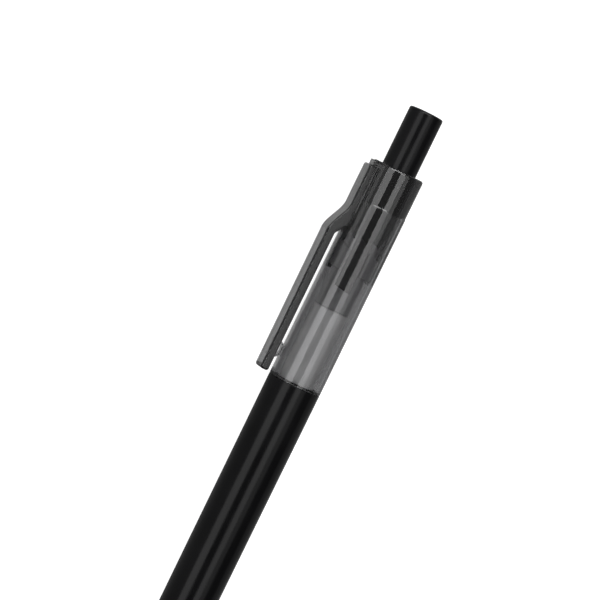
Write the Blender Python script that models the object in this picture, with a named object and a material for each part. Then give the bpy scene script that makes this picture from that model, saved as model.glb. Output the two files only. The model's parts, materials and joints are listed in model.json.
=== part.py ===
"""Retractable gel pen: smoky upper barrel with a cranked clip, black lower barrel, click mechanism, refill.

The pen lies on the floor along X, its point towards +X and its button towards -X. It rests on its barrel and
on the lower edge of its clip, which is on the -Y side. Every piece is drawn in the pen's own frame: x runs
from the barrel's rim towards the point, and z points from the axis to the middle of the clip. Lengths are in
millimetres until they reach a mesh.
"""

import math

import bmesh
import bpy

MM = 0.001

# Overall sizes
BARREL_R = 5.0
RIM_R = 4.93  # the barrel above the step where the mechanism starts
BUTTON_OUT = 11.6  # how far the button stands out of the barrel's rim
POINT_END = 130.4  # front end of the nose cone
LENGTH = BUTTON_OUT + POINT_END
JOIN = 42.85  # where the smoky upper barrel meets the black lower barrel
NOSE = 116.3  # where the lower barrel meets the nose cone
CLEAR = 0.08  # gap between two pieces that meet

# Clip
CLIP_ANGLE = math.radians(25.0)  # how far the clip's middle lies below the horizontal
CLIP_W = 3.6
CLIP_TOP = 1.2
CLIP_END = 42.6
CLIP_PAD_R = 6.07  # outer face over the root
CLIP_OUT_R = 8.15  # outer face of the arm at the crank
CLIP_TIP_R = 8.02  # outer face of the arm at its tip
CLIP_IN_R = 6.38  # inner face of the arm
CRANK_START = 9.25
CRANK_END = 14.8
BUMP_A = 38.3
BUMP_R = 1.7
BUMP_W = 1.4
BUMP_WALL = 0.35
WEB_W = 0.4  # the bump is cored out beside a thin web
SADDLE_END = 13.0
SADDLE_R = 5.35
SADDLE_WIDTH = 54.0  # degrees
CLIP_EDGE = 0.22
TONGUE_W = 2.2
TONGUE_TOP = 0.2
TONGUE_END = 7.2
TONGUE_LOW = 4.15
TONGUE_OUT = 5.4

# Click mechanism
BUTTON_R = 3.275
GUIDE_R = 3.45  # bore that guides the button, and the ribs' inner radius
BORE_R = 4.4
BORE_TOP = 7.6
RIB_TOP = 7.9
RIB_SLANT = 0.5
RIB_WIDTH = 36.0
RIBS = ((70.0, 23.7), (160.0, 21.0))  # degrees from the clip, and the end, of each pair of opposite ribs
SLOT_MIDDLE = 25.0
TOOTH_COUNT = 8
TOOTH_HEIGHT = 1.2
KNOCK_END = 13.3
MESH_GAP = 0.15  # gap between the knock's teeth and the rotor's teeth
LUG_R = 4.2
SLOTS = 4
SPIGOT_R = 4.25
SPIGOT_BORE = 3.85
THREAD_R = 4.45
SOCKET_R = 4.53
ROTOR_R = 3.3
ROTOR_END = 27.8

# Refill
TUBE_R = 3.3
TUBE_BORE = 2.6
TUBE_END = 103.0
INK_TOP = 55.0
HOLDER_R = 2.2
COLLAR_END = 106.0
HOLDER_END = 115.0
SPRING_SEAT = 122.0
TIP_R = 1.15
TIP_END = 128.45
BALL_R = 0.25

SEGMENTS = 40
BIG = 40.0  # half-length of a cutter that runs out of the piece it cuts


def clear_scene():
    for old in list(bpy.data.objects):
        bpy.data.objects.remove(old, do_unlink=True)


def plastic(name, colour, roughness, metallic=0.0, transmission=0.0):
    """A Principled material for one piece."""
    material = bpy.data.materials.new(name)
    material.use_nodes = True
    shader = material.node_tree.nodes["Principled BSDF"]
    shader.inputs["Base Color"].default_value = (*colour, 1.0)
    shader.inputs["Roughness"].default_value = roughness
    shader.inputs["Metallic"].default_value = metallic
    shader.inputs["Transmission Weight"].default_value = transmission
    return material


def pen_frame():
    """An empty on the pen's axis at the barrel's rim, turned so that its z points at the clip."""
    corner = CLIP_OUT_R * math.cos(CLIP_ANGLE) + 0.5 * CLIP_W * math.sin(CLIP_ANGLE)
    chamfer = CLIP_EDGE * math.sin(CLIP_ANGLE)
    empty = bpy.data.objects.new("pen_axis", None)
    empty.location = (
        (BUTTON_OUT - 0.5 * LENGTH) * MM,
        0.5 * (corner - chamfer - BARREL_R) * MM,
        BARREL_R * MM,
    )
    empty.rotation_euler = (math.radians(90.0) + CLIP_ANGLE, 0.0, 0.0)
    bpy.context.scene.collection.objects.link(empty)
    return empty


def add_object(name, bm, material, parent, origin=(0.0, 0.0, 0.0)):
    """Turn a bmesh drawn in millimetres into an object; origin is a point of its parent's frame."""
    bmesh.ops.translate(bm, verts=bm.verts, vec=[-value for value in origin])
    bmesh.ops.scale(bm, verts=bm.verts, vec=(MM, MM, MM))
    bmesh.ops.recalc_face_normals(bm, faces=bm.faces)
    mesh = bpy.data.meshes.new(name)
    bm.to_mesh(mesh)
    bm.free()
    mesh.shade_smooth()
    mesh.set_sharp_from_angle(angle=math.radians(32.0))
    if material:
        mesh.materials.append(material)
    obj = bpy.data.objects.new(name, mesh)
    obj.location = [value * MM for value in origin]
    obj.parent = parent
    bpy.context.scene.collection.objects.link(obj)
    return obj


def as_tool(obj):
    """Mark an object as a cutter or a guide that isn't a piece of the pen."""
    obj.hide_render = True
    obj.display_type = "WIRE"
    return obj


def combine(obj, tool, operation):
    modifier = obj.modifiers.new(operation.lower(), "BOOLEAN")
    modifier.object = as_tool(tool)
    modifier.operation = operation
    modifier.solver = "EXACT"


def arc(centre, radius, start, end, steps):
    """Points (a, r) on an arc, from one angle to another in degrees, 0 towards the point and 90 outwards."""
    points = []
    for i in range(steps + 1):
        angle = math.radians(start + (end - start) * i / steps)
        points.append((centre[0] + radius * math.cos(angle), centre[1] + radius * math.sin(angle)))
    return points


def tooth(angle):
    """Ratchet tooth height from 0 to 1 round the axis: a long ramp and a short steep back."""
    phase = (angle / (2.0 * math.pi) * TOOTH_COUNT) % 1.0
    ramp = 0.8
    return phase / ramp if phase <= ramp else (1.0 - phase) / (1.0 - ramp)


def turned(outline, segments=SEGMENTS):
    """Spin an outline of (a, r) or (a, r, tooth height) points about the pen's axis.

    An outline that starts and ends on the axis gives a solid piece. Any other outline is closed into a ring.
    """
    bm = bmesh.new()
    rings = []
    for point in outline:
        height = point[2] if len(point) > 2 else 0.0
        if point[1] == 0.0:
            rings.append([bm.verts.new((point[0], 0.0, 0.0))])
            continue
        ring = []
        for i in range(segments):
            angle = 2.0 * math.pi * i / segments
            x = point[0] + height * tooth(angle)
            ring.append(bm.verts.new((x, point[1] * math.sin(angle), point[1] * math.cos(angle))))
        rings.append(ring)
    solid = len(rings[0]) == 1 and len(rings[-1]) == 1
    pairs = list(zip(rings, rings[1:]))
    if not solid:
        pairs.append((rings[-1], rings[0]))
    for first, second in pairs:
        for i in range(segments):
            j = (i + 1) % segments
            if len(first) == 1:
                bm.faces.new((first[0], second[j], second[i]))
            elif len(second) == 1:
                bm.faces.new((first[i], first[j], second[0]))
            else:
                bm.faces.new((first[i], first[j], second[j], second[i]))
    return bm


def add_sector(bm, top, bottom, radii, middle, width, slant_top=0.0, slant_bottom=0.0):
    """Add a closed block between two radii, round the axis from middle - width/2 to middle + width/2 degrees.

    Its ends lie at a = top and a = bottom, and each may slant by a given height across the width.
    """
    steps = 4
    columns = []
    for i in range(steps + 1):
        share = i / steps
        angle = math.radians(middle + width * (share - 0.5))
        ends = (top + slant_top * share, bottom + slant_bottom * share)
        column = []
        for a, radius in ((ends[0], radii[0]), (ends[0], radii[1]), (ends[1], radii[1]), (ends[1], radii[0])):
            column.append(bm.verts.new((a, radius * math.sin(angle), radius * math.cos(angle))))
        columns.append(column)
    for first, second in zip(columns, columns[1:]):
        for k in range(4):
            m = (k + 1) % 4
            bm.faces.new((first[k], first[m], second[m], second[k]))
    bm.faces.new(columns[0])
    bm.faces.new(list(reversed(columns[-1])))


def sectors(name, parent, count, **shape):
    """One tool object with equal blocks spaced evenly round the axis."""
    bm = bmesh.new()
    first = shape.pop("middle")
    for i in range(count):
        add_sector(bm, middle=first + 360.0 * i / count, **shape)
    return add_object(name, bm, None, parent)


def coil(start, end, radius, wire, turns, closed_turns, per_turn, sides):
    """A round wire wound about the axis, its end turns closed up against each other."""
    bm = bmesh.new()
    total = turns + 2.0 * closed_turns
    closed_pitch = 1.25 * wire
    first = start + 0.5 * wire
    last = end - 0.5 * wire
    open_pitch = (last - first - 2.0 * closed_turns * closed_pitch) / turns
    rings = []
    steps = round(total * per_turn)
    for i in range(steps + 1):
        turn = total * i / steps
        along = first + closed_pitch * min(turn, closed_turns)
        along += open_pitch * min(max(turn - closed_turns, 0.0), turns)
        along += closed_pitch * max(turn - closed_turns - turns, 0.0)
        angle = 2.0 * math.pi * turn
        ring = []
        for k in range(sides):
            around = 2.0 * math.pi * k / sides
            r = radius + 0.5 * wire * math.cos(around)
            x = along + 0.5 * wire * math.sin(around)
            ring.append(bm.verts.new((x, r * math.sin(angle), r * math.cos(angle))))
        rings.append(ring)
    for first_ring, second_ring in zip(rings, rings[1:]):
        for k in range(sides):
            m = (k + 1) % sides
            bm.faces.new((first_ring[k], first_ring[m], second_ring[m], second_ring[k]))
    bm.faces.new(rings[0])
    bm.faces.new(list(reversed(rings[-1])))
    return bm


def upper_barrel(pen, smoke):
    """Smoky tube with a rounded rim, a bore step, cam ribs, a slot for the clip and a threaded spigot."""
    rim = 0.5
    outline = [(0.0, GUIDE_R + 0.15)]
    outline += arc((rim, RIM_R - rim), rim, 180, 90, 4)
    outline += [(BORE_TOP - 0.14, RIM_R), (BORE_TOP + 0.06, BARREL_R)]
    outline += [(JOIN - 0.5 * CLEAR, BARREL_R), (JOIN - 0.5 * CLEAR, SPIGOT_R)]
    for i in range(4):
        start = JOIN + 0.9 + 1.6 * i
        outline += [(start, SPIGOT_R), (start + 0.4, THREAD_R)]
        outline += [(start + 0.8, THREAD_R), (start + 1.2, SPIGOT_R)]
    outline += [(JOIN + 7.85, SPIGOT_R), (JOIN + 8.0, SPIGOT_R - 0.15), (JOIN + 8.0, SPIGOT_BORE)]
    outline += [(JOIN - 0.12, SPIGOT_BORE), (JOIN - 0.5, BORE_R), (BORE_TOP, BORE_R), (BORE_TOP, GUIDE_R)]
    outline += [(0.15, GUIDE_R)]
    barrel = add_object("upper_barrel", turned(outline), smoke, pen)

    for i, (middle, end) in enumerate(RIBS):
        ribs = sectors(
            f"cam_ribs_{i + 1}", pen, SLOTS // 2, middle=middle, width=RIB_WIDTH, top=RIB_TOP,
            bottom=end - RIB_SLANT, radii=(GUIDE_R, BORE_R + 0.25), slant_bottom=RIB_SLANT,
        )
        combine(barrel, ribs, "UNION")

    slot = bmesh.new()
    bmesh.ops.create_cube(slot, size=1.0)
    length = TONGUE_END + CLEAR + BIG
    height = BARREL_R + 1.0 - TONGUE_LOW + CLEAR
    bmesh.ops.scale(slot, verts=slot.verts, vec=(length, TONGUE_W + 2.0 * CLEAR, height))
    middle = (TONGUE_END + CLEAR - 0.5 * length, 0.0, TONGUE_LOW - CLEAR + 0.5 * height)
    bmesh.ops.translate(slot, verts=slot.verts, vec=middle)
    combine(barrel, add_object("clip_slot", slot, None, pen), "DIFFERENCE")
    return barrel


def lower_barrel(pen, black):
    """Black tube with a slight taper, open at both ends, bored for the upper spigot and the cone's spigot."""
    top = JOIN + 0.5 * CLEAR
    outline = [(top, SOCKET_R), (top, BARREL_R - 0.12), (top + 0.12, BARREL_R)]
    outline += [(JOIN + 44.0, 4.9), (NOSE - 1.0, 4.86), (NOSE - 0.5 * CLEAR, 4.82), (NOSE - 0.5 * CLEAR, 4.1)]
    outline += [(NOSE - 6.0, 4.1), (NOSE - 6.4, 3.9), (JOIN + 9.0, 3.9), (JOIN + 8.4, SOCKET_R)]
    return add_object("lower_barrel", turned(outline), black, pen)


def nose_cone(pen, black):
    """Ogive cone with a spigot, a bore for the spring, the shoulder it stands on and the point's hole."""
    start = NOSE + 0.5 * CLEAR
    length = POINT_END - start
    outline = [(NOSE - 5.5, 3.55), (NOSE - 5.5, 3.8), (NOSE - 5.3, 4.0), (start, 4.0), (start, 4.8)]
    steps = 7
    for i in range(1, steps):
        share = i / steps
        outline.append((start + length * share, 1.75 + 3.05 * math.cos(0.5 * math.pi * share ** 1.15)))
    outline += [(POINT_END - 0.25, 1.8), (POINT_END, 1.6), (POINT_END, 1.4)]
    outline += [(POINT_END - 0.2, 1.28), (SPRING_SEAT + 0.4, 1.28), (SPRING_SEAT, 1.7), (SPRING_SEAT, 3.1)]
    outline += [(NOSE + 1.0, 3.1), (NOSE + 0.4, 3.55)]
    return add_object("nose_cone", turned(outline), black, pen)


def clip_outline():
    """The clip's side view as (a, r) points, from the root's top along the outer face and back inside."""
    points = [(CLIP_TOP, 4.5)]
    points += arc((CLIP_TOP + 0.4, CLIP_PAD_R - 0.4), 0.4, 180, 90, 3)
    steps = 7
    for i in range(steps + 1):
        share = i / steps
        rise = 0.5 - 0.5 * math.cos(math.pi * share)
        a = CRANK_START + (CRANK_END - CRANK_START) * share
        points.append((a, CLIP_PAD_R + (CLIP_OUT_R - CLIP_PAD_R) * rise))
    points += arc((CLIP_END - 0.5, CLIP_TIP_R - 0.5), 0.5, 90, 0, 4)
    points += arc((CLIP_END - 0.45, CLIP_IN_R + 0.45), 0.45, 0, -90, 4)
    points += arc((15.75, CLIP_IN_R - 0.6), 0.6, 90, 145, 3)
    points += [(12.6, 4.5)]
    return points


def slab(outline, width):
    """A side view of (a, r) points given a width across the clip."""
    bm = bmesh.new()
    near = [bm.verts.new((a, -0.5 * width, r)) for a, r in outline]
    far = [bm.verts.new((a, 0.5 * width, r)) for a, r in outline]
    bm.faces.new(near)
    bm.faces.new(list(reversed(far)))
    for i in range(len(outline)):
        j = (i + 1) % len(outline)
        bm.faces.new((near[i], near[j], far[j], far[i]))
    return bm


def pocket_clip(pen, smoke):
    """Cranked clip: a pad that hugs the barrel, a tongue in its slot, the arm and its narrow round bump."""
    hinge = (TONGUE_TOP, 0.0, TONGUE_LOW)
    clip = add_object("pocket_clip", slab(clip_outline(), CLIP_W), smoke, pen, hinge)
    edges = clip.modifiers.new("rounded_edges", "BEVEL")
    edges.width = CLIP_EDGE * MM
    edges.segments = 2
    edges.limit_method = "ANGLE"
    edges.angle_limit = math.radians(50.0)

    hollow = turned([(-BIG, 0.0), (-BIG, BARREL_R + 0.05), (BIG, BARREL_R + 0.05), (BIG, 0.0)], 96)
    combine(clip, add_object("barrel_clearance", hollow, None, pen), "DIFFERENCE")

    saddle = sectors(
        "clip_saddle", pen, 1, middle=0.0, width=SADDLE_WIDTH, top=CLIP_TOP + 0.1, bottom=SADDLE_END,
        radii=(BARREL_R + 0.09, SADDLE_R),
    )
    combine(clip, saddle, "UNION")

    centre = (BUMP_A, BARREL_R + CLEAR + BUMP_R)
    root = CLIP_IN_R + 0.55
    inner = BUMP_R - BUMP_WALL
    wall = [(BUMP_A + BUMP_R, root)] + arc(centre, BUMP_R, 0.0, -180.0, 12) + [(BUMP_A - BUMP_R, root)]
    wall += [(BUMP_A - inner, root)] + arc(centre, inner, -180.0, 0.0, 12) + [(BUMP_A + inner, root)]
    combine(clip, add_object("bump_wall", slab(wall, BUMP_W), None, pen), "UNION")
    middle = BUMP_R - 0.5 * BUMP_WALL
    web = [(BUMP_A + middle, root + 0.1)] + arc(centre, middle, 0.0, -180.0, 12)
    web += [(BUMP_A - middle, root + 0.1)]
    combine(clip, add_object("bump_web", slab(web, WEB_W), None, pen), "UNION")

    tongue = bmesh.new()
    bmesh.ops.create_cube(tongue, size=1.0)
    size = (TONGUE_END - TONGUE_TOP, TONGUE_W, TONGUE_OUT - TONGUE_LOW)
    bmesh.ops.scale(tongue, verts=tongue.verts, vec=size)
    middle = (0.5 * (TONGUE_TOP + TONGUE_END), 0.0, 0.5 * (TONGUE_LOW + TONGUE_OUT))
    bmesh.ops.translate(tongue, verts=tongue.verts, vec=middle)
    combine(clip, add_object("clip_tongue", tongue, None, pen), "UNION")
    return clip


def push_button(pen, black):
    """Round knock with a slightly domed end, a hollow sleeve, guide lugs and a ring of cam teeth."""
    top = -BUTTON_OUT
    outline = [(top, 0.0), (top, 2.5), (top + 0.1, 2.95)]
    outline += arc((top + 0.5, BUTTON_R - 0.35), 0.35, 150, 90, 3)
    outline += [(KNOCK_END, BUTTON_R, TOOTH_HEIGHT), (KNOCK_END, 2.35, TOOTH_HEIGHT), (2.5, 2.35), (1.5, 0.0)]
    button = add_object("push_button", turned(outline), black, pen)
    lugs = sectors(
        "knock_lugs", pen, SLOTS, middle=SLOT_MIDDLE, width=46.0, top=BORE_TOP + 0.1, bottom=KNOCK_END - 0.8,
        radii=(3.0, LUG_R),
    )
    combine(button, lugs, "UNION")
    return button


def cam_rotor(pen, grey):
    """Rotor with a guide stem, cam teeth that face the knock, lugs for the slots and a nose in the refill."""
    face = KNOCK_END + MESH_GAP
    outline = [(9.5, 0.0), (9.5, 1.9), (9.8, 2.2), (face, 2.2, TOOTH_HEIGHT), (face, ROTOR_R, TOOTH_HEIGHT)]
    outline += [(20.4, ROTOR_R), (20.5, ROTOR_R - 0.1), (21.3, ROTOR_R - 0.1), (21.5, ROTOR_R)]
    outline += [(ROTOR_END, ROTOR_R), (ROTOR_END, 2.5), (ROTOR_END + 3.4, 2.5), (ROTOR_END + 3.7, 2.2)]
    outline += [(ROTOR_END + 3.7, 0.0)]
    rotor = add_object("cam_rotor", turned(outline), grey, pen)
    lugs = sectors(
        "rotor_lugs", pen, SLOTS, middle=SLOT_MIDDLE, width=43.0, top=15.6, bottom=20.4, radii=(3.0, LUG_R),
        slant_top=1.0,
    )
    combine(rotor, lugs, "UNION")
    return rotor


def refill(pen, tube_plastic, ink, grease, holder_plastic, steel, carbide):
    """The refill: tube, ink, follower grease, tip holder, metal point, ball and the spring behind it."""
    tube_top = ROTOR_END + CLEAR
    tube = [(tube_top, TUBE_BORE), (tube_top, TUBE_R), (TUBE_END, TUBE_R), (TUBE_END, TUBE_BORE)]
    add_object("refill_tube", turned(tube), tube_plastic, pen)

    fill_r = TUBE_BORE - CLEAR
    follower = [(INK_TOP - 6.0, 0.0), (INK_TOP - 6.3, fill_r)]
    follower += [(INK_TOP - CLEAR, fill_r), (INK_TOP - CLEAR, 0.0)]
    add_object("ink_follower", turned(follower, 24), grease, pen)
    plug = TUBE_END - 5.0
    column = [(INK_TOP, 0.0), (INK_TOP, fill_r), (plug - CLEAR, fill_r), (plug - CLEAR, 0.0)]
    add_object("ink_column", turned(column, 24), ink, pen)

    holder = [(plug, 1.0), (plug, 2.3), (plug + 0.3, 2.52), (TUBE_END + CLEAR, 2.52)]
    holder += [(TUBE_END + CLEAR, TUBE_R), (COLLAR_END - 0.3, TUBE_R)]
    holder += [(COLLAR_END, TUBE_R - 0.3), (COLLAR_END, HOLDER_R)]
    holder += [(HOLDER_END - 1.5, HOLDER_R - 0.1), (HOLDER_END, 1.8), (HOLDER_END, TIP_R + 0.05)]
    holder += [(HOLDER_END - 4.0, TIP_R + 0.05), (HOLDER_END - 4.0, 1.0)]
    add_object("tip_holder", turned(holder, 32), holder_plastic, pen)

    rear = HOLDER_END - 4.0 + CLEAR
    lip_r = BALL_R - 0.008
    socket_r = BALL_R + 0.015
    tip = [(rear, 0.85), (rear, TIP_R), (TIP_END - 3.6, TIP_R), (TIP_END - 3.5, TIP_R - 0.06)]
    tip += [(TIP_END - 0.9, 0.45), (TIP_END, 0.3), (TIP_END, lip_r), (TIP_END - 0.06, socket_r)]
    tip += [(TIP_END - 0.24, socket_r), (TIP_END - 0.45, 0.16), (TIP_END - 3.2, 0.16), (TIP_END - 3.5, 0.85)]
    add_object("writing_tip", turned(tip, 24), steel, pen)

    ball = bmesh.new()
    bmesh.ops.create_uvsphere(ball, u_segments=12, v_segments=8, radius=BALL_R)
    centre = (TIP_END - 0.1, 0.0, 0.0)
    bmesh.ops.translate(ball, verts=ball.verts, vec=centre)
    add_object("tip_ball", ball, carbide, pen, centre)

    spring = coil(rear + 0.4, TIP_END - 3.8, 0.55, 0.16, turns=10, closed_turns=1, per_turn=8, sides=5)
    add_object("ball_spring", spring, steel, pen)


def return_spring(pen, steel):
    start = COLLAR_END + CLEAR
    end = SPRING_SEAT - CLEAR
    spring = coil(start, end, 2.62, 0.4, turns=8, closed_turns=1, per_turn=14, sides=6)
    add_object("return_spring", spring, steel, pen)


def build():
    clear_scene()
    pen = pen_frame()
    smoke = plastic("smoke_plastic", (0.16, 0.16, 0.17), 0.08, transmission=0.85)
    upper_barrel(pen, smoke)
    pocket_clip(pen, smoke)
    gloss_black = plastic("gloss_black", (0.012, 0.012, 0.013), 0.15)
    push_button(pen, gloss_black)
    cam_rotor(pen, plastic("dark_grey", (0.06, 0.06, 0.065), 0.35))
    lower_barrel(pen, plastic("satin_black", (0.011, 0.011, 0.012), 0.42))
    nose_cone(pen, plastic("cone_black", (0.012, 0.012, 0.013), 0.3))
    steel = plastic("steel", (0.62, 0.62, 0.64), 0.25, metallic=1.0)
    refill(
        pen,
        tube_plastic=plastic("frosted", (0.6, 0.6, 0.6), 0.4, transmission=0.6),
        ink=plastic("ink", (0.005, 0.005, 0.007), 0.2),
        grease=plastic("grease", (0.75, 0.74, 0.68), 0.3, transmission=0.5),
        holder_plastic=plastic("holder_plastic", (0.75, 0.75, 0.73), 0.4),
        steel=steel,
        carbide=plastic("carbide", (0.35, 0.35, 0.36), 0.15, metallic=1.0),
    )
    return_spring(pen, steel)


build()
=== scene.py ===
"""The looks of the gel pen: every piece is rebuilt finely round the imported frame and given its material.

Lengths in the outlines are millimetres in the pen's own frame. There a runs along the axis from the barrel's
rim towards the point, r is the distance from the axis, and an angle of 0 round the axis is the middle of the
clip.
"""

import json
import math

import bmesh
import bpy
from mathutils import Matrix, Vector


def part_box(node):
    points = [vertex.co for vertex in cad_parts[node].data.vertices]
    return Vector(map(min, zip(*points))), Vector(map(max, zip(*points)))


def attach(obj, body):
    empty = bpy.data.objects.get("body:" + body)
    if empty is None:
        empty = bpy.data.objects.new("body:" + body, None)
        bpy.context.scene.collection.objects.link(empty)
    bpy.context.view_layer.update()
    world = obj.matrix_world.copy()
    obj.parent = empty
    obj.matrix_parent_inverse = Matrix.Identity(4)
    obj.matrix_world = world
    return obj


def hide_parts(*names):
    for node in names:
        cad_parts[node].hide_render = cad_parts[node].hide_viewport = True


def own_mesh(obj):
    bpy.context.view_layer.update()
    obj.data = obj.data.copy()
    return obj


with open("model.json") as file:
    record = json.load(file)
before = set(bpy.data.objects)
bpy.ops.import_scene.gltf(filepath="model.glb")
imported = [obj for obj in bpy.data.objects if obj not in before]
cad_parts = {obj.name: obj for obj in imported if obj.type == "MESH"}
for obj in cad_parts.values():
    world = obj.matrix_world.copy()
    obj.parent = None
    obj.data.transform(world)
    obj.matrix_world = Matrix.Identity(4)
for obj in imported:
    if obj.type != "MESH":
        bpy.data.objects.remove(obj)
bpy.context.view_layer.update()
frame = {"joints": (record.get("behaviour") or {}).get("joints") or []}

MM = 0.001
FINE = 144  # sides of the large turned pieces
SMALL = 72  # sides of the small ones
CLEAR = 0.08  # gap that the CAD leaves between two pieces that meet
SHARP = math.radians(35.0)  # edges over this angle are shaded as sharp


# ---------------------------------------------------------------- the pen's frame, read from the CAD nodes


def clip_direction():
    """Unit vector from the axis to the middle of the clip, square to the axis and to the clip's hinge."""
    hinge = next(joint for joint in frame["joints"] if joint["name"] == "clip_flex")
    return Vector(hinge["axis"]).cross(Vector((1.0, 0.0, 0.0))).normalized()


TUBE_LOW, TUBE_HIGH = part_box("refill_tube")
BARREL_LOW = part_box("upper_barrel")[0]
RIM = Vector((BARREL_LOW.x, 0.5 * (TUBE_LOW.y + TUBE_HIGH.y), 0.5 * (TUBE_LOW.z + TUBE_HIGH.z)))
ALONG = Vector((1.0, 0.0, 0.0))
OUT = clip_direction()
ACROSS = OUT.cross(ALONG)
PEN = Matrix.Translation(RIM) @ Matrix((ALONG, ACROSS, OUT)).transposed().to_4x4() @ Matrix.Scale(MM, 4)


def span(node):
    """Where a node starts and ends along the pen, in millimetres from the rim."""
    low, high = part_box(node)
    return (low.x - RIM.x) / MM, (high.x - RIM.x) / MM


BUTTON_TOP, KNOCK_END = span("push_button")
ROTOR_TOP, ROTOR_NOSE = span("cam_rotor")
TUBE_TOP, TUBE_END = span("refill_tube")
INK_TOP, INK_END = span("ink_column")
GREASE_TOP, GREASE_END = span("ink_follower")
HOLDER_TOP, HOLDER_END = span("tip_holder")
TIP_REAR, TIP_END = span("writing_tip")
SPRING_TOP, SPRING_END = span("return_spring")
FINE_SPRING_TOP, FINE_SPRING_END = span("ball_spring")
LOWER_TOP, LOWER_END = span("lower_barrel")
SPIGOT_END = span("upper_barrel")[1]
CONE_TOP, CONE_END = span("nose_cone")
CLIP_END = span("pocket_clip")[1]
JOIN = LOWER_TOP - 0.5 * CLEAR  # where the two barrels meet


# ---------------------------------------------------------------- mesh tools


def rounded(corners, steps=5):
    """Replace each corner (a, r, radius) of a closed outline by an arc; one of radius 0 stays as it is."""
    points = []
    for i, (a, r, radius) in enumerate(corners):
        here = Vector((a, r))
        if radius == 0.0:
            points.append(here)
            continue
        before = Vector(corners[i - 1][:2]) - here
        after = Vector(corners[(i + 1) % len(corners)][:2]) - here
        half = 0.5 * before.angle(after)
        reach = min(radius / math.tan(half), 0.49 * before.length, 0.49 * after.length)
        radius = reach * math.tan(half)
        middle = here + (before.normalized() + after.normalized()).normalized() * radius / math.sin(half)
        first = here + before.normalized() * reach - middle
        last = here + after.normalized() * reach - middle
        turn = first.angle_signed(last)
        for k in range(steps + 1):
            arm = first.copy()
            arm.rotate(Matrix.Rotation(-turn * k / steps, 2))
            points.append(middle + arm)
    return [(point.x, point.y) for point in points]


def new_object(name, bm):
    """An object from a bmesh in the pen's frame, smooth except at its sharp edges."""
    bmesh.ops.transform(bm, verts=bm.verts, matrix=PEN)
    bmesh.ops.recalc_face_normals(bm, faces=bm.faces)
    mesh = bpy.data.meshes.new(name)
    bm.to_mesh(mesh)
    bm.free()
    mesh.shade_smooth()
    mesh.set_sharp_from_angle(angle=SHARP)
    obj = bpy.data.objects.new(name, mesh)
    bpy.context.scene.collection.objects.link(obj)
    return obj


def value_at(value, angle):
    """A plain number as it is, or a function's value at an angle in degrees."""
    return value(angle) if callable(value) else value


def turned(outline, sides=FINE, extra=()):
    """Spin an outline of (a, r) points about the axis; a and r may each be a function of the angle.

    An outline with r = 0 at both ends makes a solid piece, and any other one makes a ring. extra holds more
    angles that get a column of points, such as the edges of a rib. Angles are in degrees.
    """
    angles = sorted(set([360.0 * i / sides for i in range(sides)] + [angle % 360.0 for angle in extra]))
    bm = bmesh.new()
    rings = []
    for a, r in outline:
        if not callable(r) and r == 0.0:
            rings.append([bm.verts.new((a, 0.0, 0.0))])
            continue
        ring = []
        for angle in angles:
            radius = value_at(r, angle)
            turn = math.radians(angle)
            ring.append(bm.verts.new((value_at(a, angle), radius * math.sin(turn), radius * math.cos(turn))))
        rings.append(ring)
    pairs = list(zip(rings, rings[1:]))
    if len(rings[0]) > 1:
        pairs.append((rings[-1], rings[0]))
    for first, second in pairs:
        for i in range(len(angles)):
            j = (i + 1) % len(angles)
            corners = [first[i % len(first)], first[j % len(first)]]
            corners += [second[j % len(second)], second[i % len(second)]]
            bm.faces.new(sorted(set(corners), key=corners.index))
    return bm


def combine(obj, tool, operation):
    """Cut the tool out of an object, or join it on, and remove the tool."""
    modifier = obj.modifiers.new(operation, "BOOLEAN")
    modifier.operation = operation
    modifier.object = tool
    modifier.solver = "EXACT"
    settle(obj)
    bpy.data.objects.remove(tool, do_unlink=True)


def settle(obj):
    """Apply an object's modifiers to its mesh."""
    depsgraph = bpy.context.evaluated_depsgraph_get()
    mesh = bpy.data.meshes.new_from_object(obj.evaluated_get(depsgraph))
    obj.modifiers.clear()
    obj.data = mesh


def even_normals(obj):
    """Let large flat faces keep their own direction beside the small faces of their rounded edges."""
    obj.data.shade_smooth()
    obj.data.set_sharp_from_angle(angle=SHARP)
    modifier = obj.modifiers.new("even_normals", "WEIGHTED_NORMAL")
    modifier.keep_sharp = True
    modifier.weight = 80
    settle(obj)


def block(name, low, high):
    """A plain box in the pen's frame, used as a tool."""
    bm = bmesh.new()
    bmesh.ops.create_cube(bm, size=1.0)
    middle = [0.5 * (low[i] + high[i]) for i in range(3)]
    size = [high[i] - low[i] for i in range(3)]
    bmesh.ops.scale(bm, verts=bm.verts, vec=size)
    bmesh.ops.translate(bm, verts=bm.verts, vec=middle)
    return new_object(name, bm)


def coil(name, start, end, radius, wire, turns, per_turn, sides):
    """A round wire wound about the axis, with a closed-up turn at each end."""
    closed = 1.0
    closed_pitch = 1.25 * wire
    thickness = 0.5 * wire
    first = start + thickness
    open_pitch = (end - thickness - first - 2.0 * closed * closed_pitch) / turns
    total = turns + 2.0 * closed
    steps = round(total * per_turn)
    bm = bmesh.new()
    rings = []
    for i in range(steps + 1):
        turn = total * i / steps
        along = first + closed_pitch * min(turn, closed)
        along += open_pitch * min(max(turn - closed, 0.0), turns)
        along += closed_pitch * max(turn - closed - turns, 0.0)
        angle = 2.0 * math.pi * turn
        ring = []
        for k in range(sides):
            around = 2.0 * math.pi * k / sides
            r = radius + thickness * math.cos(around)
            x = along + thickness * math.sin(around)
            ring.append(bm.verts.new((x, r * math.sin(angle), r * math.cos(angle))))
        rings.append(ring)
    for one, other in zip(rings, rings[1:]):
        for k in range(sides):
            m = (k + 1) % sides
            bm.faces.new((one[k], one[m], other[m], other[k]))
    bm.faces.new(rings[0])
    bm.faces.new(list(reversed(rings[-1])))
    return new_object(name, bm)


def place(obj, body, node, material):
    """Give a finished piece its material and its body, and hide the CAD node that it stands for."""
    obj.data.materials.clear()
    obj.data.materials.append(material)
    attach(obj, body)
    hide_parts(node)
    return obj


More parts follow.
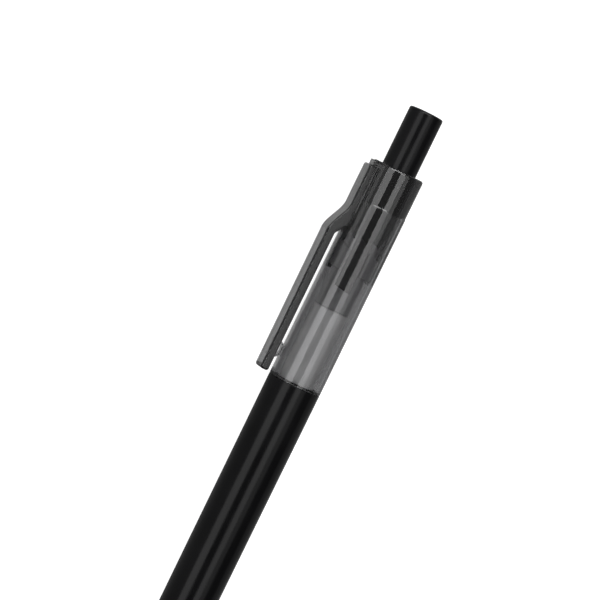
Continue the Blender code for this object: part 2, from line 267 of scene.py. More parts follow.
# ---------------------------------------------------------------- materials

# Each pair is the darkest and the lightest tint of one material.
BLACK = ((0.002, 0.002, 0.0022), (0.004, 0.004, 0.0043))
GREY = ((0.17, 0.17, 0.175), (0.21, 0.21, 0.215))
FROST = ((0.68, 0.68, 0.68), (0.76, 0.76, 0.76))
INK = ((0.003, 0.003, 0.005), (0.006, 0.006, 0.01))
GREASE = ((0.7, 0.68, 0.6), (0.78, 0.77, 0.7))
NATURAL = ((0.68, 0.68, 0.65), (0.78, 0.78, 0.75))
SMOKE_DENSITY = 1550.0  # per metre of smoky plastic
SMOKE_CLEAR = 0.994  # the rest is a faint milky scatter


def new_material(name, colour, roughness, **inputs):
    """A material and its Principled shader, with plain values on the shader's own sockets."""
    material = bpy.data.materials.new(name)
    material.use_nodes = True
    shader = material.node_tree.nodes["Principled BSDF"]
    shader.inputs["Base Color"].default_value = (*colour, 1.0)
    shader.inputs["Roughness"].default_value = roughness
    for key, value in inputs.items():
        shader.inputs[key.replace("_", " ").title().replace("Ior", "IOR")].default_value = value
    return material, shader


def noise(material, scale, detail=3.0, stretch=(1.0, 1.0, 1.0)):
    """Noise in the object's own coordinates, in metres; a stretch under 1 draws it out along that axis."""
    nodes = material.node_tree.nodes
    links = material.node_tree.links
    coordinates = nodes.new("ShaderNodeTexCoord")
    mapping = nodes.new("ShaderNodeMapping")
    mapping.inputs["Scale"].default_value = stretch
    texture = nodes.new("ShaderNodeTexNoise")
    texture.inputs["Scale"].default_value = scale
    texture.inputs["Detail"].default_value = detail
    links.new(coordinates.outputs["Object"], mapping.inputs["Vector"])
    links.new(mapping.outputs["Vector"], texture.inputs["Vector"])
    return texture.outputs["Fac"]


def spread(material, source, low, high, start=0.3, end=0.7):
    """Map a noise value to a range."""
    node = material.node_tree.nodes.new("ShaderNodeMapRange")
    node.inputs["From Min"].default_value = start
    node.inputs["From Max"].default_value = end
    node.inputs["To Min"].default_value = low
    node.inputs["To Max"].default_value = high
    material.node_tree.links.new(source, node.inputs["Value"])
    return node.outputs["Result"]


def tint(material, source, dark, light):
    """Map a noise value to a colour between two."""
    node = material.node_tree.nodes.new("ShaderNodeMix")
    node.data_type = "RGBA"
    node.inputs["A"].default_value = (*dark, 1.0)
    node.inputs["B"].default_value = (*light, 1.0)
    material.node_tree.links.new(source, node.inputs["Factor"])
    return node.outputs["Result"]


def bump(material, shader, height, strength, distance):
    """Let a height tilt the shader's normal; distance is the relief's depth in metres."""
    node = material.node_tree.nodes.new("ShaderNodeBump")
    node.inputs["Strength"].default_value = strength
    node.inputs["Distance"].default_value = distance
    material.node_tree.links.new(height, node.inputs["Height"])
    material.node_tree.links.new(node.outputs["Normal"], shader.inputs["Normal"])


def smoke_plastic(name):
    """Polished see-through polycarbonate, grey by what it absorbs, with faint handling haze."""
    material, shader = new_material(name, (1.0, 1.0, 1.0), 0.03, transmission_weight=SMOKE_CLEAR, ior=1.56)
    links = material.node_tree.links
    haze = noise(material, 260.0, 4.0, (0.25, 1.0, 1.0))
    links.new(spread(material, haze, 0.01, 0.04), shader.inputs["Roughness"])
    ripple = noise(material, 420.0, 2.0, (0.2, 1.0, 1.0))
    bump(material, shader, ripple, 0.04, 0.00004)
    absorb = material.node_tree.nodes.new("ShaderNodeVolumeAbsorption")
    absorb.inputs["Color"].default_value = (0.1, 0.1, 0.11, 1.0)
    absorb.inputs["Density"].default_value = SMOKE_DENSITY
    output = material.node_tree.nodes["Material Output"]
    links.new(absorb.outputs["Volume"], output.inputs["Volume"])
    return material


def moulded(name, dark, light, smooth, rough, grain, depth, **inputs):
    """Opaque moulded plastic: colour and gloss that vary a little, and a fine surface grain."""
    material, shader = new_material(name, light, rough, **inputs)
    links = material.node_tree.links
    cloud = noise(material, 180.0, 4.0, (0.5, 1.0, 1.0))
    links.new(tint(material, spread(material, cloud, 0.0, 1.0), dark, light), shader.inputs["Base Color"])
    wear = noise(material, 900.0, 3.0, (0.3, 1.0, 1.0))
    links.new(spread(material, wear, smooth, rough), shader.inputs["Roughness"])
    bump(material, shader, noise(material, grain, 2.0), 0.25, depth)
    return material


def turned_metal(name, colour, smooth, rough, ring_scale):
    """Bright metal with fine rings round the pen's axis, as a lathe or a drawing die leaves them."""
    material, shader = new_material(name, colour, rough, metallic=1.0)
    links = material.node_tree.links
    rings = noise(material, ring_scale, 3.0, (1.0, 0.05, 0.05))
    links.new(spread(material, rings, smooth, rough), shader.inputs["Roughness"])
    shade = tint(material, rings, [0.8 * value for value in colour], colour)
    links.new(shade, shader.inputs["Base Color"])
    bump(material, shader, rings, 0.2, 0.00001)
    return material


# ---------------------------------------------------------------- sizes of the pieces, in millimetres

BARREL_R = 5.0
RIM_R = 4.93  # outside of the barrel over its guide bore
GUIDE_R = 3.45  # guide bore for the knock
BORE_R = 4.4  # wide bore under it
BORE_TOP = 7.6  # where both change over
RIB_TOP = 7.9
RIB_ENDS = (23.7, 21.0)  # the ribs are long and short by turns
RIB_SLANT = 0.5
RIB_HALF = 18.0  # half a rib's width in degrees
SLOTS = 4
DRAFT = 1.5  # how far the side of a rib or a lug leans, in degrees
SPIGOT_R = 4.25
SPIGOT_BORE = 3.85
THREAD_R = 4.45
THREAD_RINGS = 4
THREAD_PITCH = 1.6

CLIP_TOP = 1.2
CLIP_W = 3.6
CLIP_ROOT_R = 4.5  # how deep the root reaches before it is cut round to lie on the barrel
CLIP_ROOT_END = 12.6
CLIP_PAD_R = 6.07  # outer face over the root
CLIP_OUT_R = 8.15  # outer face of the arm where it starts
CLIP_TIP_R = 8.02  # and at its tip
CLIP_IN_R = 6.38  # inner face of the arm
CRANK_START = 9.25
CRANK_END = 14.8
TONGUE_TOP = span("pocket_clip")[0]
TONGUE_END = 7.2
TONGUE_W = 2.2
TONGUE_LOW = 4.15
TONGUE_OUT = 5.4
SADDLE_TOP = 1.3
SADDLE_END = 13.0
SADDLE_LOW = BARREL_R + 0.09
SADDLE_OUT = 5.35
SADDLE_HALF = 27.0  # half the saddle's width in degrees
BUMP_AT = 38.3
BUMP_R = 1.7
BUMP_ROOT = CLIP_IN_R + 0.55  # the bump's feet end inside the arm
BUMP_W = 1.4
BUMP_WALL = 0.35
WEB_W = 0.4

BUTTON_R = 3.275
KNOCK_BORE = 2.35
KNOCK_LUG_HALF = 21.5  # half a lug's width in degrees
LUG_R = 4.2
TEETH = 8
TOOTH_HEIGHT = 1.2
TOOTH_RAMP = 0.8  # the long ramp's share of a tooth
TOOTH_ROOT = KNOCK_END - TOOTH_HEIGHT
TOOTH_GAP = 0.15  # between the knock's teeth and the rotor's
ROTOR_R = 3.3
ROTOR_NECK_R = ROTOR_R - 0.1
ROTOR_STEM_R = 2.2
ROTOR_NOSE_R = 2.5
ROTOR_LUG_HALF = 20.0
ROTOR_LUG_TOP = 15.6
ROTOR_END = TUBE_TOP - CLEAR

SOCKET_R = 4.53  # the lower barrel's socket for the thread
SOCKET_END = JOIN + 8.4
LOWER_BORE = 3.9
CONE_SOCKET_R = 4.1
CONE_SPIGOT_R = 4.0
CONE_R = 4.82
MOUTH_R = 1.28
SPRING_BORE = 3.1

TUBE_R = 3.3
TUBE_BORE = 2.6
INK_R = TUBE_BORE - CLEAR
COLLAR_END = 106.0
PLUG_R = 2.52  # the tip holder inside the tube
TIP_SHANK_R = 1.15
SOCKET_BALL_R = 0.265
BALL_R = 0.25
BALL_OUT = 0.15  # how far the ball stands out of the point
WIRE = 0.4
WIRE_COIL_R = 2.62
FINE_WIRE = 0.16
FINE_COIL_R = 0.55

RIB_MIDDLES = [70.0 + 360.0 * i / SLOTS for i in range(SLOTS)]
LUG_MIDDLES = [25.0 + 360.0 * i / SLOTS for i in range(SLOTS)]
TOOTH_ANGLES = [360.0 * (i + part) / TEETH for i in range(TEETH) for part in (0.0, TOOTH_RAMP)]


# ---------------------------------------------------------------- ribs, lugs and teeth


def off_middle(angle, middles):
    """Degrees from an angle to the nearest of some middles."""
    return min(abs((angle - middle + 180.0) % 360.0 - 180.0) for middle in middles)


def across(angle, middles, half):
    """Which of some ribs or lugs an angle is nearest to, and its place across it from 0 to 1."""
    nearest = min(middles, key=lambda middle: off_middle(angle, [middle]))
    away = (angle - nearest + 180.0) % 360.0 - 180.0
    return middles.index(nearest), min(max(0.5 + away / (2.0 * half), 0.0), 1.0)


def edge_angles(middles, half):
    """The angles of the feet and shoulders of ribs or lugs."""
    return [middle + side * (half + lean) for middle in middles for side in (-1, 1) for lean in (0.0, DRAFT)]


def stepped(inside, outside, middles, half):
    """A radius that is inside near each middle and outside elsewhere, with leaning sides between."""

    def radius(angle):
        share = (off_middle(angle, middles) - half) / DRAFT
        return inside + (outside - inside) * min(max(share, 0.0), 1.0)

    return radius


def rib_end(angle):
    """Where the nearest guide rib ends: its end slants, as a cam does."""
    index, share = across(angle, RIB_MIDDLES, RIB_HALF)
    return RIB_ENDS[index % 2] - RIB_SLANT * (1.0 - share)


def lug_top(angle):
    """Where the rotor's nearest lug starts: its top slants by a millimetre."""
    return ROTOR_LUG_TOP + across(angle, LUG_MIDDLES, ROTOR_LUG_HALF)[1]


def tooth(angle):
    """Height of the knock's ratchet teeth: a long ramp and a short steep back."""
    phase = (angle / 360.0 * TEETH) % 1.0
    share = phase / TOOTH_RAMP if phase <= TOOTH_RAMP else (1.0 - phase) / (1.0 - TOOTH_RAMP)
    return TOOTH_HEIGHT * share


def knock_teeth(angle):
    """Where the knock's toothed end lies."""
    return TOOTH_ROOT + tooth(angle)


def rotor_teeth(angle):
    """Where the rotor's teeth lie, a small gap behind the knock's."""
    return TOOTH_ROOT + TOOTH_GAP + tooth(angle)


# ---------------------------------------------------------------- the pieces


def upper_barrel(material):
    """Smoky tube: rounded rim, guide bore, cam ribs with slanted ends, and a threaded spigot."""
    ribbed = stepped(GUIDE_R, BORE_R, RIB_MIDDLES, RIB_HALF)
    foot = JOIN - 0.5 * CLEAR
    outline = rounded([(0.0, 3.6, 0.0), (0.0, RIM_R, 0.5), (BORE_TOP, RIM_R, 0.0)], 7)[:-1]
    outline += rounded([(BORE_TOP - 3.0, RIM_R, 0.0), (BORE_TOP - 0.14, RIM_R, 0.1),
                        (BORE_TOP + 0.06, BARREL_R, 0.15), (BORE_TOP + 3.0, BARREL_R, 0.0)], 5)
    outline += rounded([(BORE_TOP, BARREL_R, 0.0), (foot, BARREL_R, 0.06), (foot, SPIGOT_R, 0.05),
                        (JOIN + 0.8, SPIGOT_R, 0.0)], 7)[1:-1]
    for i in range(THREAD_RINGS):
        start = JOIN + 0.9 + THREAD_PITCH * i
        outline += [(start, SPIGOT_R), (start + 0.4, THREAD_R)]
        outline += [(start + 0.8, THREAD_R), (start + 1.2, SPIGOT_R)]
    outline += [(SPIGOT_END - 0.15, SPIGOT_R), (SPIGOT_END, SPIGOT_R - 0.15), (SPIGOT_END, SPIGOT_BORE)]
    outline += [(JOIN - 0.12, SPIGOT_BORE), (JOIN - 0.17, SPIGOT_BORE + 0.05)]
    outline += [(JOIN - 0.4, BORE_R - 0.05), (JOIN - 0.5, BORE_R)]
    outline += [(RIB_ENDS[0] + 2.0, BORE_R), (lambda angle: rib_end(angle) + 0.15, BORE_R)]
    outline += [(rib_end, ribbed), (RIB_TOP + 0.06, ribbed), (RIB_TOP, BORE_R)]
    outline += [(BORE_TOP + 0.12, BORE_R), (BORE_TOP, BORE_R - 0.12), (BORE_TOP, GUIDE_R + 0.1)]
    outline += [(BORE_TOP - 0.1, GUIDE_R), (0.15, GUIDE_R)]
    barrel = new_object("upper_barrel_shell", turned(outline, FINE, edge_angles(RIB_MIDDLES, RIB_HALF)))
    low = (-5.0, -0.5 * TONGUE_W - CLEAR, TONGUE_LOW - CLEAR)
    high = (TONGUE_END + CLEAR, 0.5 * TONGUE_W + CLEAR, 8.0)
    combine(barrel, block("clip_slot", low, high), "DIFFERENCE")
    even_normals(barrel)
    place(barrel, "barrel", "upper_barrel", material)


def clip_outline():
    """The clip's side view, from the root's top along the outer face and back along the inner face."""
    points = [(CLIP_TOP, CLIP_ROOT_R)]
    root = [(CLIP_TOP, CLIP_ROOT_R, 0.0), (CLIP_TOP, CLIP_PAD_R, 0.42), (CRANK_START, CLIP_PAD_R, 0.0)]
    points += rounded(root, 6)[1:-1]
    steps = 18
    for i in range(steps + 1):
        share = i / steps
        rise = 0.5 - 0.5 * math.cos(math.pi * share)
        bend = 0.62 * rise + 0.38 * share  # a soft start and end, and a nearly straight middle
        points.append((CRANK_START + (CRANK_END - CRANK_START) * share,
                       CLIP_PAD_R + (CLIP_OUT_R - CLIP_PAD_R) * bend))
    tip = [(CRANK_END, CLIP_OUT_R, 0.0), (CLIP_END, CLIP_TIP_R, 0.5), (CLIP_END, CLIP_IN_R, 0.45)]
    tip += [(BUMP_AT, CLIP_IN_R, 0.0)]
    points += rounded(tip, 7)[1:-1]
    inside = [(BUMP_AT, CLIP_IN_R, 0.0), (15.1, CLIP_IN_R, 0.7), (CLIP_ROOT_END, CLIP_ROOT_R, 0.0)]
    points += rounded(inside, 6)[1:-1]
    return points + [(CLIP_ROOT_END, CLIP_ROOT_R)]


def slab(name, outline, width):
    """A side view of (a, r) points given a width across the clip."""
    bm = bmesh.new()
    near = [bm.verts.new((a, -0.5 * width, r)) for a, r in outline]
    far = [bm.verts.new((a, 0.5 * width, r)) for a, r in outline]
    bm.faces.new(near)
    bm.faces.new(list(reversed(far)))
    for i in range(len(outline)):
        j = (i + 1) % len(outline)
        bm.faces.new((near[i], near[j], far[j], far[i]))
    return new_object(name, bm)


def soften(obj, width, segments, limit=50.0):
    """Bevel the edges that are sharper than a limit in degrees; one segment gives a flat chamfer."""
    edges = obj.modifiers.new("soft_edges", "BEVEL")
    edges.width = width * MM
    edges.segments = segments
    edges.limit_method = "ANGLE"
    edges.angle_limit = math.radians(limit)
    settle(obj)


def arch(radius):
    """Half a circle of the bump, from one foot in the clip's arm to the other."""
    middle = BARREL_R + CLEAR + BUMP_R
    steps = 32
    points = [(BUMP_AT + radius, BUMP_ROOT)]
    for i in range(steps + 1):
        angle = math.pi * i / steps
        points.append((BUMP_AT + radius * math.cos(angle), middle - radius * math.sin(angle)))
    return points + [(BUMP_AT - radius, BUMP_ROOT)]


def saddle():
    """A thin curved plate at the clip's root that lies on the barrel."""
    steps = 24
    turns = [SADDLE_HALF * (2.0 * i / steps - 1.0) for i in range(steps + 1)]
    section = [(SADDLE_LOW, turn) for turn in turns] + [(SADDLE_OUT, turn) for turn in reversed(turns)]
    bm = bmesh.new()
    ends = []
    for a in (SADDLE_TOP, SADDLE_END):
        ring = []
        for r, turn in section:
            angle = math.radians(turn)
            ring.append(bm.verts.new((a, r * math.sin(angle), r * math.cos(angle))))
        ends.append(ring)
    for i in range(len(section)):
        j = (i + 1) % len(section)
        bm.faces.new((ends[0][i], ends[0][j], ends[1][j], ends[1][i]))
    bm.faces.new(ends[0])
    bm.faces.new(list(reversed(ends[1])))
    return new_object("saddle", bm)


def clip_bump():
    """The narrow round bump under the clip's end: an arched wall with a thin web in it."""
    wall = slab("bump_wall", arch(BUMP_R) + arch(BUMP_R - BUMP_WALL)[::-1], BUMP_W)
    soften(wall, 0.06, 2)
    combine(wall, slab("bump_web", arch(BUMP_R - 0.5 * BUMP_WALL), WEB_W), "UNION")
    return wall


def pocket_clip(material):
    """Cranked clip with chamfered edges, a saddle, a tongue for the barrel's slot and a bump."""
    clip = slab("pocket_clip_body", clip_outline(), CLIP_W)
    soften(clip, 0.3, 1)
    soften(clip, 0.04, 2, 30.0)
    core_r = BARREL_R + 0.05
    core = [(-20.0, 0.0), (-20.0, core_r), (30.0, core_r), (30.0, 0.0)]
    combine(clip, new_object("barrel_core", turned(core, 180)), "DIFFERENCE")
    combine(clip, saddle(), "UNION")
    low = (TONGUE_TOP, -0.5 * TONGUE_W, TONGUE_LOW)
    high = (TONGUE_END, 0.5 * TONGUE_W, TONGUE_OUT)
    tongue = block("tongue", low, high)
    soften(tongue, 0.1, 3)
    combine(clip, tongue, "UNION")
    combine(clip, clip_bump(), "UNION")
    even_normals(clip)
    place(clip, "clip", "pocket_clip", material)


def push_button(material):
    """Round knock: slightly domed end, rounded edge, guide lugs and the ring of cam teeth."""
    lugs = stepped(LUG_R, BUTTON_R, LUG_MIDDLES, KNOCK_LUG_HALF)
    crown = [(BUTTON_TOP, 1.6, 0.0), (BUTTON_TOP + 0.08, 2.6, 0.6), (BUTTON_TOP + 0.2, BUTTON_R, 0.4)]
    crown += [(4.0, BUTTON_R, 0.0)]
    outline = [(BUTTON_TOP, 0.0), (BUTTON_TOP, 1.6)] + rounded(crown, 7)[1:-1]
    outline += [(4.0, BUTTON_R), (BORE_TOP, BUTTON_R), (BORE_TOP + 0.15, lugs), (TOOTH_ROOT - 0.9, lugs)]
    outline += [(TOOTH_ROOT - 0.75, BUTTON_R), (knock_teeth, BUTTON_R), (knock_teeth, KNOCK_BORE)]
    outline += [(2.5, KNOCK_BORE), (1.5, 0.0)]
    extra = TOOTH_ANGLES + edge_angles(LUG_MIDDLES, KNOCK_LUG_HALF)
    button = new_object("push_button_knock", turned(outline, FINE, extra))
    even_normals(button)
    place(button, "knock", "push_button", material)


def cam_rotor(material):
    """Rotor: guide stem, cam teeth, slanted lugs for the slots, a short neck, and the nose in the refill."""
    lugs = stepped(LUG_R, ROTOR_R, LUG_MIDDLES, ROTOR_LUG_HALF)
    outline = [(ROTOR_TOP, 0.0), (ROTOR_TOP, ROTOR_STEM_R - 0.3), (ROTOR_TOP + 0.3, ROTOR_STEM_R)]
    outline += [(rotor_teeth, ROTOR_STEM_R), (rotor_teeth, ROTOR_R)]
    outline += [(lambda angle: lug_top(angle) - 0.05, ROTOR_R), (lambda angle: lug_top(angle) + 0.05, lugs)]
    outline += [(20.35, lugs), (20.5, ROTOR_NECK_R), (21.3, ROTOR_NECK_R), (21.5, ROTOR_R)]
    shoulder = [(21.5, ROTOR_R, 0.0), (ROTOR_END, ROTOR_R, 0.12), (ROTOR_END, ROTOR_NOSE_R, 0.0)]
    outline += rounded(shoulder, 4)[1:]
    outline += [(ROTOR_NOSE - 0.3, ROTOR_NOSE_R), (ROTOR_NOSE, ROTOR_NOSE_R - 0.3), (ROTOR_NOSE, 0.0)]
    extra = TOOTH_ANGLES + edge_angles(LUG_MIDDLES, ROTOR_LUG_HALF)
    rotor = new_object("cam_rotor_body", turned(outline, FINE, extra))
    even_normals(rotor)
    place(rotor, "refill", "cam_rotor", material)


def lower_barrel(material):
    """Black tube with a slight taper; its rounded ends leave fine joint lines."""
    corners = [(LOWER_TOP, SOCKET_R, 0.05), (LOWER_TOP, BARREL_R, 0.13), (JOIN + 44.0, 4.9, 0.0)]
    corners += [(LOWER_END - 1.0, 4.86, 0.0), (LOWER_END, 4.83, 0.12), (LOWER_END, CONE_SOCKET_R, 0.05)]
    corners += [(LOWER_END - 6.0, CONE_SOCKET_R, 0.0), (LOWER_END - 6.4, LOWER_BORE, 0.0)]
    corners += [(SOCKET_END + 0.6, LOWER_BORE, 0.0), (SOCKET_END, SOCKET_R, 0.0)]
    tube = new_object("lower_barrel_shell", turned(rounded(corners, 6)))
    even_normals(tube)
    place(tube, "barrel", "lower_barrel", material)


def nose_cone(material):
    """Ogive cone with a rounded mouth, a spring bore and a spigot."""
    start = LOWER_END + CLEAR
    length = CONE_END - start
    outline = [(CONE_TOP, 3.55), (CONE_TOP, 3.8), (CONE_TOP + 0.2, CONE_SPIGOT_R), (start, CONE_SPIGOT_R)]
    edge = [(start, CONE_SPIGOT_R, 0.0), (start, CONE_R, 0.12), (start + 1.0, 4.78, 0.0)]
    outline += rounded(edge, 5)[1:-1]
    steps = 28
    for i in range(1, steps):
        share = i / steps
        outline.append((start + length * share, 1.75 + 3.05 * math.cos(0.5 * math.pi * share ** 1.15)))
    mouth = [(start + length * 0.97, 1.86, 0.0), (CONE_END, 1.72, 0.3), (CONE_END, MOUTH_R, 0.14)]
    mouth += [(CONE_END - 3.0, MOUTH_R, 0.0)]
    outline += rounded(mouth, 6)[1:]
    seat = SPRING_END + CLEAR
    outline += [(seat + 0.4, MOUTH_R), (seat, 1.7), (seat, SPRING_BORE)]
    outline += [(LOWER_END + 1.0, SPRING_BORE), (LOWER_END + 0.4, 3.55)]
    cone = new_object("nose_cone_shell", turned(outline))
    even_normals(cone)
    place(cone, "barrel", "nose_cone", material)


def refill_tube(material):
    """Tube with rounded ends that starts right under the rotor."""
    corners = [(TUBE_TOP, TUBE_BORE, 0.1), (TUBE_TOP, TUBE_R, 0.15)]
    corners += [(TUBE_END, TUBE_R, 0.15), (TUBE_END, TUBE_BORE, 0.1)]
    tube = new_object("refill_tube_shell", turned(rounded(corners, 4)))
    even_normals(tube)
    place(tube, "refill", "refill_tube", material)


def ink_follower(material):
    """Grease plug with a dished rear face."""
    outline = [(GREASE_TOP + 0.5, 0.0), (GREASE_TOP + 0.3, 1.4), (GREASE_TOP, INK_R)]
    outline += [(GREASE_END - 0.1, INK_R), (GREASE_END, INK_R - 0.1), (GREASE_END, 0.0)]
    plug = new_object("ink_follower_plug", turned(outline, SMALL))
    place(plug, "refill", "ink_follower", material)


def ink_column(material):
    """The gel between the follower and the tip holder."""
    outline = [(INK_TOP, 0.0), (INK_TOP, INK_R - 0.1), (INK_TOP + 0.1, INK_R)]
    outline += [(INK_END - 0.1, INK_R), (INK_END, INK_R - 0.1), (INK_END, 0.0)]
    gel = new_object("ink_column_gel", turned(outline, SMALL))
    place(gel, "refill", "ink_column", material)


def tip_holder(material):
    """Plug in the tube's end, with the collar that the return spring pushes on and a bore for the point."""
    corners = [(HOLDER_TOP, 1.0, 0.0), (HOLDER_TOP, 2.4, 0.3), (HOLDER_TOP + 0.6, PLUG_R, 0.0)]
    corners += [(TUBE_END + CLEAR, PLUG_R, 0.0), (TUBE_END + CLEAR, TUBE_R, 0.12), (COLLAR_END, TUBE_R, 0.3)]
    corners += [(COLLAR_END, 2.2, 0.1), (HOLDER_END - 1.5, 2.1, 0.3), (HOLDER_END, 1.8, 0.1)]
    corners += [(HOLDER_END, 1.2, 0.0), (HOLDER_END - 4.0, 1.2, 0.0), (HOLDER_END - 4.0, 1.0, 0.0)]
    holder = new_object("tip_holder_plug", turned(rounded(corners, 4), SMALL))
    even_normals(holder)
    place(holder, "refill", "tip_holder", material)


def writing_tip(material):
    """Metal point: a shank, a cone, the ball's socket and the ink channel behind it."""
    corners = [(TIP_REAR, 0.85, 0.0), (TIP_REAR, TIP_SHANK_R, 0.1), (TIP_END - 3.6, TIP_SHANK_R, 0.08)]
    corners += [(TIP_END - 3.5, 1.09, 0.05), (TIP_END - 0.9, 0.45, 0.3), (TIP_END, 0.3, 0.04)]
    corners += [(TIP_END, 0.242, 0.0), (TIP_END - 0.06, SOCKET_BALL_R, 0.0)]
    corners += [(TIP_END - 0.24, SOCKET_BALL_R, 0.0), (TIP_END - 0.45, 0.16, 0.0)]
    corners += [(TIP_END - 3.2, 0.16, 0.0), (TIP_END - 3.5, 0.85, 0.0)]
    point = new_object("writing_tip_cone", turned(rounded(corners, 5), SMALL))
    even_normals(point)
    place(point, "refill", "writing_tip", material)


def tip_ball(material):
    """The ball, a half circle turned about the axis."""
    middle = TIP_END + BALL_OUT - BALL_R
    steps = 24
    outline = [(middle - BALL_R, 0.0)]
    for i in range(1, steps):
        angle = math.pi * i / steps
        outline.append((middle - BALL_R * math.cos(angle), BALL_R * math.sin(angle)))
    outline.append((middle + BALL_R, 0.0))
    ball = new_object("tip_ball_sphere", turned(outline, 48))
    place(ball, "refill", "tip_ball", material)


def ball_spring(wire):
    """The fine coil in the point that keeps the ball seated."""
    spring = coil("ball_spring_coil", FINE_SPRING_TOP, FINE_SPRING_END, FINE_COIL_R, FINE_WIRE, 10, 28, 10)
    place(spring, "refill", "ball_spring", wire)


def return_spring(wire):
    """The coil round the tip holder, built at one length; in the pen it shortens towards the cone's shoulder
    as the refill comes forward.
    """
    spring = coil("return_spring_coil", SPRING_TOP, SPRING_END, WIRE_COIL_R, WIRE, 8, 48, 14)
    place(spring, "barrel", "return_spring", wire)
    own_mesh(spring)


def build_pen():
    """Build every piece, each with its material."""
    upper_barrel(smoke_plastic("smoke_plastic"))
    pocket_clip(smoke_plastic("smoke_clip"))
    push_button(moulded("gloss_black", *BLACK, 0.16, 0.26, 2500.0, 0.000004, specular_ior_level=0.15))
    cam_rotor(moulded("dark_grey", *GREY, 0.3, 0.42, 2500.0, 0.00001))
    lower_barrel(moulded("satin_black", *BLACK, 0.15, 0.22, 6000.0, 0.00001, specular_ior_level=0.15))
    nose_cone(moulded("cone_black", *BLACK, 0.18, 0.28, 6000.0, 0.000008, specular_ior_level=0.18))
    refill_tube(moulded("frosted_tube", *FROST, 0.4, 0.55, 1500.0, 0.00002, transmission_weight=0.1))
    ink_follower(moulded("follower_grease", *GREASE, 0.1, 0.3, 300.0, 0.00005, transmission_weight=0.5))
    ink_column(moulded("gel_ink", *INK, 0.05, 0.15, 400.0, 0.00002))
    tip_holder(moulded("holder_plastic", *NATURAL, 0.3, 0.45, 2500.0, 0.00001, subsurface_weight=0.2))
    writing_tip(turned_metal("tip_steel", (0.66, 0.65, 0.63), 0.12, 0.28, 6000.0))
    tip_ball(turned_metal("carbide", (0.4, 0.4, 0.41), 0.05, 0.12, 20000.0))
    wire = turned_metal("spring_steel", (0.6, 0.6, 0.6), 0.18, 0.35, 3000.0)
    ball_spring(wire)
    return_spring(wire)


# ---------------------------------------------------------------- camera, floor and light

VIEW_FROM_CLIP = math.radians(68.5)  # angle round the pen from the clip to the camera
LEAN = math.radians(26.0)  # the pen's lean to the right in the picture
DISTANCE = 0.6
LENS = 200.0
CENTRE_ALONG = 28.8  # the picture's centre, in millimetres from the rim
CENTRE_ASIDE = 5.76  # and to the clip's side of the axis


def round_the_pen(degrees):
    """Unit vector square to the pen, at an angle above the horizontal on the clip's side."""
    angle = math.radians(degrees)
    return Vector((0.0, -math.cos(angle), math.sin(angle)))


CLIP_BELOW = math.degrees(math.atan2(-OUT.z, -OUT.y))
CAMERA_UP = math.degrees(VIEW_FROM_CLIP) - CLIP_BELOW


def facing(middle, x_axis, z_axis):
    """Matrix that puts an object at a point, with its own x and z axes along two square directions."""
    return Matrix.Translation(middle) @ Matrix((x_axis, z_axis.cross(x_axis), z_axis)).transposed().to_4x4()


def add_camera():
    """The camera, square to the pen at the rim, turned so that the pen leans and fills the picture."""
    towards = round_the_pen(CAMERA_UP)
    aside = ALONG.cross(towards)
    target = RIM + (CENTRE_ALONG * ALONG + CENTRE_ASIDE * aside) * MM
    place_at = RIM + DISTANCE * towards
    look = (target - place_at).normalized()
    top = -(ALONG - look * ALONG.dot(look)).normalized()
    up = math.cos(LEAN) * top - math.sin(LEAN) * look.cross(top)
    data = bpy.data.cameras.new("camera")
    data.lens = LENS
    data.clip_start = 0.01
    camera = bpy.data.objects.new("camera", data)
    camera.matrix_world = facing(place_at, look.cross(up), -look)
    bpy.context.scene.collection.objects.link(camera)
    bpy.context.scene.camera = camera


def add_lamp(name, size, radiance, middle, x_axis, z_axis):
    """A rectangular soft box of one radiance that shines against its z axis."""
    data = bpy.data.lights.new(name, "AREA")
    data.shape = "RECTANGLE"
    data.size = size[0]
    data.size_y = size[1]
    data.energy = radiance * math.pi * size[0] * size[1]
    lamp = bpy.data.objects.new(name, data)
    lamp.matrix_world = facing(middle, x_axis, z_axis)
    bpy.context.scene.collection.objects.link(lamp)


def add_strip(name, low, high, radiance, distance=0.45, length=0.9):
    """A long soft box beside the pen, from one angle above the horizontal to another."""
    width = 2.0 * distance * math.tan(math.radians(0.5 * (high - low)))
    back = round_the_pen(0.5 * (low + high))
    middle = Vector((0.0, RIM.y, RIM.z)) + distance * back
    add_lamp(name, (length, width), radiance, middle, ALONG, back)


def add_end_panel(size=0.5, radiance=4.0, turn=math.radians(52.0)):
    """A soft box beyond the button's end, which draws a light line along the rim and the barrel's step."""
    towards = round_the_pen(CAMERA_UP)
    back = math.cos(turn) * towards - math.sin(turn) * ALONG
    add_lamp("end_panel", (size, size), radiance, RIM + 0.5 * back, ALONG.cross(towards), back)


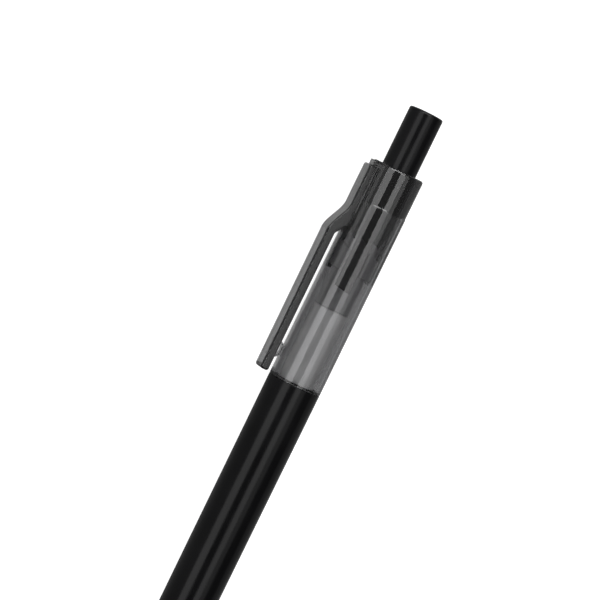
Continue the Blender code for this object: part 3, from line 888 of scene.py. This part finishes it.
def white_to_the_eye(tree, strength, low, high, through, clamp=True):
    """Set a strength: high to the camera, low in reflections, and a share of high through clear plastic."""
    path = tree.nodes.new("ShaderNodeLightPath")
    share = tree.nodes.new("ShaderNodeMath")
    share.operation = "MULTIPLY_ADD"
    share.inputs[1].default_value = through
    tree.links.new(path.outputs["Is Transmission Ray"], share.inputs[0])
    tree.links.new(path.outputs["Is Camera Ray"], share.inputs[2])
    glow = tree.nodes.new("ShaderNodeMapRange")
    glow.clamp = clamp
    glow.inputs["To Min"].default_value = low
    glow.inputs["To Max"].default_value = high
    tree.links.new(share.outputs["Value"], glow.inputs["Value"])
    tree.links.new(glow.outputs["Result"], strength)


def add_sheet(name, low, high, z, albedo, dim):
    """A flat matt sheet of the stage that glows white to the eye, and less in reflections."""
    bm = bmesh.new()
    corners = [(low[0], low[1]), (high[0], low[1]), (high[0], high[1]), (low[0], high[1])]
    bm.faces.new([bm.verts.new((x, y, z)) for x, y in corners])
    mesh = bpy.data.meshes.new(name)
    bm.to_mesh(mesh)
    bm.free()
    sheet = bpy.data.objects.new(name, mesh)
    bpy.context.scene.collection.objects.link(sheet)
    material, shader = new_material(name, (albedo, albedo, albedo), 0.9, specular_ior_level=0.0)
    shader.inputs["Emission Color"].default_value = (1.0, 1.0, 1.0, 1.0)
    white_to_the_eye(material.node_tree, shader.inputs["Emission Strength"], dim, 1.0, 0.6)
    mesh.materials.append(material)


def add_world():
    """A white surround to the eye, brighter through the smoky plastic and nearly dark in reflections."""
    world = bpy.data.worlds.new("studio")
    bpy.context.scene.world = world
    world.use_nodes = True
    background = world.node_tree.nodes["Background"]
    background.inputs["Color"].default_value = (1.0, 1.0, 1.0, 1.0)
    white_to_the_eye(world.node_tree, background.inputs["Strength"], 0.07, 0.95, 1.6, clamp=False)


bpy.context.scene.view_settings.view_transform = "Standard"
add_camera()
add_strip("left_strip", CAMERA_UP - 46.0, CAMERA_UP - 14.5, 2.4)
add_strip("right_strip", CAMERA_UP + 14.5, CAMERA_UP + 37.0, 2.4)
add_strip("right_panel", CAMERA_UP + 38.0, CAMERA_UP + 57.0, 0.9)
add_strip("back_panel", CAMERA_UP + 95.0, CAMERA_UP + 138.0, 0.25)
add_end_panel()
# The card is a brighter patch of the floor beside the smoky barrel, on the clip's side.
add_sheet("floor", (-3.0, -3.0), (3.0, 3.0), -0.00002, albedo=0.32, dim=0.02)
add_sheet("card", (-0.0595, -0.026), (-0.0175, -0.001), -0.00001, albedo=0.25, dim=0.7)
add_world()
build_pen()
